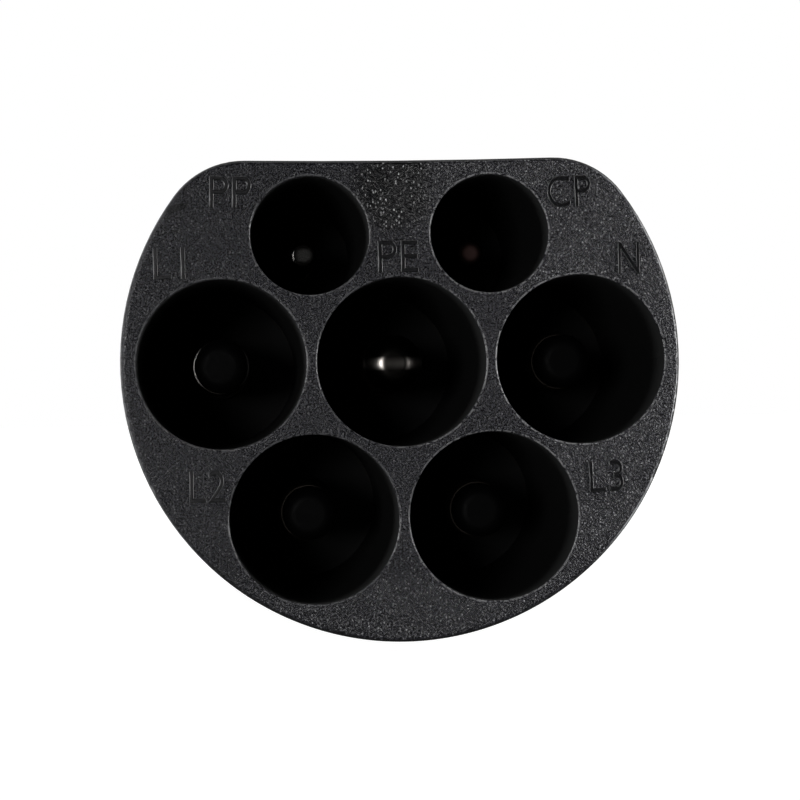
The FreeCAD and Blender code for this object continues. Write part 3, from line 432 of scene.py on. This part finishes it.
def silver(name, color, dull, sunk_from, sunk_to, centre=(0, 0), end=None, glint_band=None,
           glint_side=None):
    """Silver plate that turns dark between two depths below the face, given in mm, as painted
    shade.

    centre: the middle of the pin, from the earth pin, in metres. The rest is in mm.
    end: shares of the colour in the middle and further out, and the two radii of the change, a
    painted change of light across the pin's end.
    glint_band: heights above and below the centre between which the painted glint band ends; beyond
    it the colour is painted dark as shade.
    glint_side: distances to the side between which the full colour comes back, as a painted glint.
    """
    plate = Finish(name, color, dull)
    plate.shader.inputs["Metallic"].default_value = 1
    across, back, up = plate.split(plate.place)
    across = plate.minus(across, centre[0])
    up = plate.minus(up, axis_z + centre[1])
    tarnish = plate.noise(900, 4, 0.6)
    sunk = plate.ramp(plate.minus(back, face_y), sunk_from * MM, sunk_to * MM)
    bright = plate.blend(plate.ramp(tarnish, 0.4, 0.75), color, darker(color, 0.6))
    if end:
        inner, outer, from_radius, to_radius = end
        outwards = plate.ramp(plate.reach(across, up), from_radius * MM, to_radius * MM)
        bright = plate.blend(outwards, darker(color, inner), darker(color, outer))
    if glint_side:
        beyond = plate.ramp(across, glint_side[0] * MM, glint_side[1] * MM)
        bright = plate.blend(beyond, bright, color)
    if glint_band:
        beyond = plate.ramp(plate.math("ABSOLUTE", up), glint_band[0] * MM, glint_band[1] * MM)
        bright = plate.blend(beyond, bright, PAINTED_SHADE_OFF_GLINT)
    plate.color(plate.blend(sunk, bright, DEEP_PAINTED_SHADE))
    patchy = plate.ramp(tarnish, 0.3, 0.8, dull, dull + 0.08)
    plate.roughness(plate.plus(patchy, plate.times(sunk, 0.2)))
    plate.bump(plate.noise(1, 2, 0.5, plate.stretch(TOOL_MARKS)), 0.006 * MM, 0.3)
    return plate


# Painted light on the earth pin: its flat end is painted dark, and a painted glint band crosses its
# edge.
earth_plate = silver(
    "earth_plate", (0.62, 0.58, 0.54), 0.3, 13, 18, end=(0.11, 1, 1.1, 1.45), glint_band=(0.0, 0.8))
earth_plate.wear("earth_pin")
# Painted light on the proximity pin: its flat end painted dark and the left of its edge a painted
# glint.
proximity_plate = silver(
    "proximity_plate", (0.45, 0.44, 0.42), 0.25, 21, 24, centre=(-PITCH / 2, PILOT_PIN_Z),
    end=(0.16, 0.02, 0.5, 1.05), glint_side=(-0.95, -1.1), glint_band=(0.4, 1.0))
proximity_plate.wear("proximity_pin")
# Painted shade: the pilot pin's plate is a darker copy of the proximity pin's, darkest towards its
# edge.
shaded_pilot_plate = silver(
    "shaded_pilot_plate", (0.10, 0.06, 0.055), 0.4, 21, 24, centre=(PITCH / 2, PILOT_PIN_Z),
    end=(1, 0.1, 0.4, 1.05))
shaded_pilot_plate.wear("pilot_pin")
# Painted light: the line 1 pin's plate is a lit copy with a painted glint band, and the plate of
# the other live pins a darker, shaded copy.
lit_line_1_plate = silver("lit_line_1_plate", (0.5, 0.49, 0.47), 0.28, 16, 19, glint_band=(0.6, 2.3))
lit_line_1_plate.wear("line_1_pin")
shaded_line_plate = silver("shaded_line_plate", (0.05, 0.045, 0.04), 0.4, 15, 18)
shaded_line_plate.wear("line_2_pin", "line_3_pin", "neutral_pin")

# Touch-safe tips: small black caps on the ends of the live pins, so that a finger can't reach the
# metal. Smooth plastic, moulded over a spigot of the pin.
cap = Finish("tip_plastic", (0.002, 0.002, 0.0022), 0.5, 0.05)
cap.bump(cap.noise(2500, 3), 0.004 * MM, 0.4)
cap.roughness(cap.ramp(cap.noise(1800, 3), 0.3, 0.7, 0.45, 0.55))
cap.wear("line_1_tip", "line_2_tip", "line_3_tip", "neutral_tip")

# Handle: two halves moulded in black plastic with a fine leather-like grain, which close round the
# flange of the insert and are held together by four screws.
skin = Finish("handle_plastic", (0.011, 0.0115, 0.013), 0.5)
pores = skin.ramp(skin.cells(900, "DISTANCE_TO_EDGE")["Distance"], 0.0, 0.25)
leather = skin.plus(pores, skin.times(skin.noise(3200, 3), 0.5))
patches = skin.ramp(skin.noise(260, 4), 0.35, 0.7)
skin.color(skin.blend(patches, (0.010, 0.0105, 0.012), (0.015, 0.0155, 0.017)))
skin.roughness(skin.ramp(leather, 0.4, 1.2, 0.62, 0.44))
skin.bump(leather, 0.03 * MM, 0.55)
skin.wear("handle_left", "handle_right")

# Gland body and nut: smooth satin mouldings in black. The body's flange is caught in the handle,
# and the fluted nut screws on its thread.
satin = Finish("gland_plastic", (0.011, 0.011, 0.012), 0.38)
satin.roughness(satin.ramp(satin.noise(700, 4), 0.3, 0.7, 0.3, 0.48))
satin.bump(satin.noise(4200, 2), 0.01 * MM, 0.5)
satin.wear("gland_nut", "gland_body")

# Pressure ring and retainer plate: dark grey mouldings inside the plug. The ring lies behind the
# cable seal, and the plate holds the pins in from behind.
ring = Finish("ring_plastic", (0.06, 0.06, 0.065), 0.45)
ring.roughness(ring.ramp(ring.noise(900, 3), 0.3, 0.7, 0.38, 0.55))
ring.bump(ring.noise(3500, 2), 0.01 * MM, 0.5)
ring.wear("pressure_ring", "retainer_plate")

# Rubber rings: the seal at the root of the nose, the cable seal, the gland's gasket and the small
# rings on the pins. Matt black rubber, laid into the seats of the parts that they seal.
rubber = Finish("seal_rubber", (0.009, 0.009, 0.0095), 0.62, 0.35)
rubber.roughness(rubber.ramp(rubber.noise(1500, 3), 0.3, 0.7, 0.55, 0.75))
rubber.bump(rubber.noise(5200, 3), 0.02 * MM, 0.5)
rubber.wear("face_seal", "gland_seal", "gland_gasket", "power_pin_seals", "pilot_pin_seals")

# Cap screws: zinc-plated steel. Four hold the halves of the handle together and three hold the
# retainer plate on the insert.
zinc = Finish("zinc_plate", (0.50, 0.50, 0.52), 0.32)
zinc.shader.inputs["Metallic"].default_value = 1
zinc.roughness(zinc.ramp(zinc.noise(1400, 4), 0.3, 0.7, 0.25, 0.45))
zinc.wear("handle_screws", "retainer_screws")

# Coding resistor: it tells the post which current the cable may carry. A lacquered body that hangs
# on its leads between the proximity pin and the earth pin.
lacquer = Finish("resistor_lacquer", (0.45, 0.36, 0.24), 0.3)
clouds = lacquer.ramp(lacquer.noise(1200, 3), 0.4, 0.7)
lacquer.color(lacquer.blend(clouds, (0.45, 0.36, 0.24), (0.36, 0.28, 0.18)))
lacquer.wear("coding_resistor")

# Raised letters: the plain names of the contacts, moulded with the face, smoother and darker than
# its grain. Painted light in their colour: highlights on the sides that face left and right, and
# shade on the slopes that face up and down. Each word has its place from the earth pin and its
# width, in mm, and its turn in degrees.
LETTER_HEIGHT = 3.2 * MM
CAPITAL_SHARE = 0.72
RELIEF = 0.03 * MM
CHAMFER = 0.12 * MM
CHAMFER_STEPS = 3
THINNING = 0.1 * MM
SMOOTH_UP_TO = math.radians(40)
letters = {
    "PP": (-16.81, 17.1, 4.2, -1.8),
    "CP": (17.06, 16.8, 4.45, 1.5),
    "L1": (-22.98, 10.1, 3.2, 0.4),
    "PE": (-0.2, 10.5, 4.1, 0),
    "N": (23.0, 10.05, 2.2, 0),
    "L2": (-19.54, -12.1, 3.65, -0.6),
    "L3": (20.34, -11.81, 3.5, 2.2),
}
raised = Finish("letter_nylon", (0.006, 0.006, 0.007), 0.25, 0.5)
facing = raised.tree.nodes.new("ShaderNodeTexCoord").outputs["Normal"]
side_highlight_share = raised.math("ABSOLUTE", raised.split(facing)["X"])
slope_shade_share = raised.math("ABSOLUTE", raised.split(facing)["Z"])
raised_fine = raised.noise(5200, 2, 0.65)
raised_shade = raised.blend(
    raised.ramp(raised_fine, 0.42, 0.60), (0.0015, 0.0015, 0.0018), (0.010, 0.0102, 0.0118))
# Painted shade: the slopes that face up and down are darker.
raised_shade = raised.blend(
    raised.ramp(slope_shade_share, 0.2, 0.5), raised_shade, (0.0006, 0.0006, 0.0007))
# Painted highlight: the sides that face left and right are pale.
raised_shade = raised.blend(
    raised.ramp(side_highlight_share, 0.25, 0.6), raised_shade, (0.08, 0.08, 0.084))
raised.color(raised_shade)
raised.bump(raised_fine, 0.004 * MM)
for word, (across, up, width, turn) in letters.items():
    bpy.ops.object.text_add(location=(0, 0, 0))
    label = bpy.context.object
    label.name = "letters_" + word.lower()
    label.data.body = word
    label.data.align_x = "CENTER"
    label.data.align_y = "CENTER"
    label.data.size = LETTER_HEIGHT / CAPITAL_SHARE
    label.data.extrude = RELIEF
    label.data.offset = -THINNING
    label.data.bevel_depth = CHAMFER
    label.data.bevel_resolution = CHAMFER_STEPS
    bpy.ops.object.convert(target="MESH")
    bpy.ops.object.shade_smooth_by_angle(angle=SMOOTH_UP_TO)
    sides = [point.co.x for point in label.data.vertices]
    ends = [point.co.y for point in label.data.vertices]
    middle = Vector(((min(sides) + max(sides)) / 2, (min(ends) + max(ends)) / 2, 0))
    bpy.ops.object.mode_set(mode="EDIT")
    bpy.ops.mesh.select_all(action="SELECT")
    bpy.ops.transform.translate(value=-middle)
    bpy.ops.object.mode_set(mode="OBJECT")
    wider = width * MM / (max(sides) - min(sides))
    taller = LETTER_HEIGHT / (max(ends) - min(ends))
    label.scale = (wider, taller, 1)
    label.rotation_euler = (math.pi / 2, -math.radians(turn), 0)
    label.location = (across * MM, face_y, axis_z + up * MM)
    bpy.ops.object.transform_apply(location=True, rotation=True, scale=True)
    label.data.materials.clear()
    label.data.materials.append(raised.material)
    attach(label, "root")
